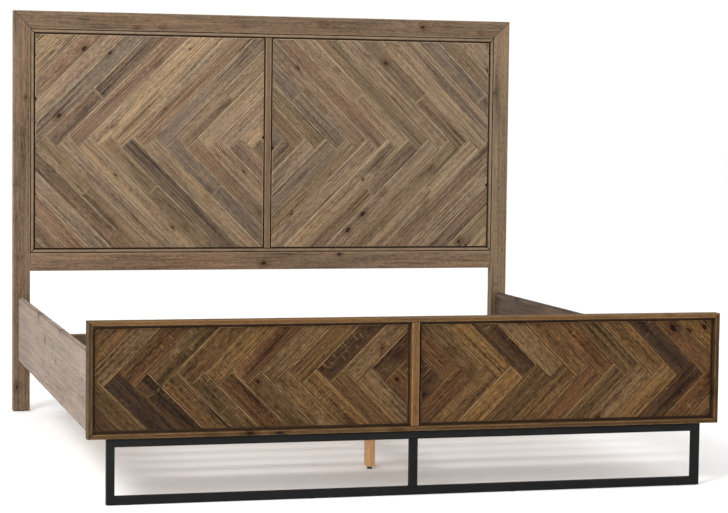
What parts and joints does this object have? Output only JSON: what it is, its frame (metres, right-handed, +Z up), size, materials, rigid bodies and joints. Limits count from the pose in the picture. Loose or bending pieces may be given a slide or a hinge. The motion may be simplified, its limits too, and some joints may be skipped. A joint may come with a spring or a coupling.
{
  "type": "wooden bed frame",
  "caption": "Rustic king bed frame: tall herringbone plank headboard, low matching footboard on a black square-tube steel base, plank side rails, slats and a centre beam on levelling feet.",
  "frame": {"origin": "centre of the bed's footprint, on the floor", "axes": "+X to the right seen from the foot of the bed, +Y from the footboard to the headboard, +Z up"},
  "size_m": [2.06, 2.192, 1.59],
  "materials": {
    "head_planks": "weathered reclaimed pine, grey-brown, matt wax",
    "foot_planks": "reclaimed pine, warm walnut brown, satin wax",
    "head_frame": "weathered grey-brown pine, matt",
    "head_bead": "light worn pine bead, matt",
    "foot_frame": "warm brown pine, satin wax",
    "backing_board": "dark stained board, matt",
    "stretcher_wood": "dark brown stained pine, matt",
    "rail_wood": "grey washed pine, matt",
    "pine": "unfinished pine",
    "dowel_wood": "beech",
    "black_steel": "matt black powder coat",
    "bracket_steel": "black oxide",
    "zinc_steel": "zinc plated",
    "black_plastic": "moulded black nylon"
  },
  "bodies": {
    "bed_frame": {"base_bottom_bar": "black_steel", "base_center_upright": "black_steel", "base_left_upright": "black_steel", "base_right_upright": "black_steel", "base_screws": "zinc_steel", "base_top_bar": "black_steel", "beam_hanger_foot": "bracket_steel", "beam_hanger_head": "bracket_steel", "center_beam": "pine", "center_leg_foot": "pine", "center_leg_head": "pine", "floor_glides": "black_plastic", "footboard_back_panel": "backing_board", "footboard_bottom_board": "foot_frame", "footboard_center_stile": "foot_frame", "footboard_left_board": "foot_frame", "footboard_planks_left_lower": "foot_planks", "footboard_planks_left_upper": "foot_planks", "footboard_planks_right_lower": "foot_planks", "footboard_planks_right_upper": "foot_planks", "footboard_right_board": "foot_frame", "footboard_top_board": "foot_frame", "hanger_screws": "zinc_steel", "headboard_back_panel": "backing_board", "headboard_bottom_bead": "head_bead", "headboard_center_stile": "head_bead", "headboard_dowels": "dowel_wood", "headboard_left_bead": "head_bead", "headboard_left_post": "head_frame", "headboard_lower_rail": "head_frame", "headboard_lower_stretcher": "stretcher_wood", "headboard_planks_left_lower": "head_planks", "headboard_planks_left_upper": "head_planks", "headboard_planks_right_lower": "head_planks", "headboard_planks_right_upper": "head_planks", "headboard_right_bead": "head_bead", "headboard_right_post": "head_frame", "headboard_top_bead": "head_bead", "headboard_top_rail": "head_frame", "ledger_screws": "zinc_steel", "left_ledger": "pine", "left_side_rail": "rail_wood", "leg_bolts": "zinc_steel", "leg_insert_foot": "zinc_steel", "leg_insert_head": "zinc_steel", "plate_screws": "zinc_steel", "rail_hook_plates": "bracket_steel", "rail_slot_plates": "bracket_steel", "right_ledger": "pine", "right_side_rail": "rail_wood", "slat_screws": "zinc_steel", "slats": "pine"},
    "leveling_pad_foot": {"leveling_pad_foot": "black_plastic"},
    "leveling_pad_head": {"leveling_pad_head": "black_plastic"},
    "leveling_stem_foot": {"leveling_stem_foot": "zinc_steel"},
    "leveling_stem_head": {"leveling_stem_head": "zinc_steel"}
  },
  "joints": [
    {"name": "foot_leg_extend", "type": "slide", "parent": "bed_frame", "child": "leveling_pad_foot", "axis": [0, 0, -1], "range_m": [0, 0.012]},
    {"name": "foot_stem_turn", "type": "hinge", "parent": "leveling_pad_foot", "child": "leveling_stem_foot", "pos_m": [0, -0.561, 0.03], "axis": [0, 0, -1], "range_deg": [0, 3456]},
    {"name": "head_leg_extend", "type": "slide", "parent": "bed_frame", "child": "leveling_pad_head", "axis": [0, 0, -1], "range_m": [0, 0.012]},
    {"name": "head_stem_turn", "type": "hinge", "parent": "leveling_pad_head", "child": "leveling_stem_head", "pos_m": [0, 0.354, 0.03], "axis": [0, 0, -1], "range_deg": [0, 3456]}
  ],
  "couplings": [
    {"joint": "foot_leg_extend", "follows": "foot_stem_turn", "m_per_rad": 0.00019894},
    {"joint": "head_leg_extend", "follows": "head_stem_turn", "m_per_rad": 0.00019894}
  ]
}
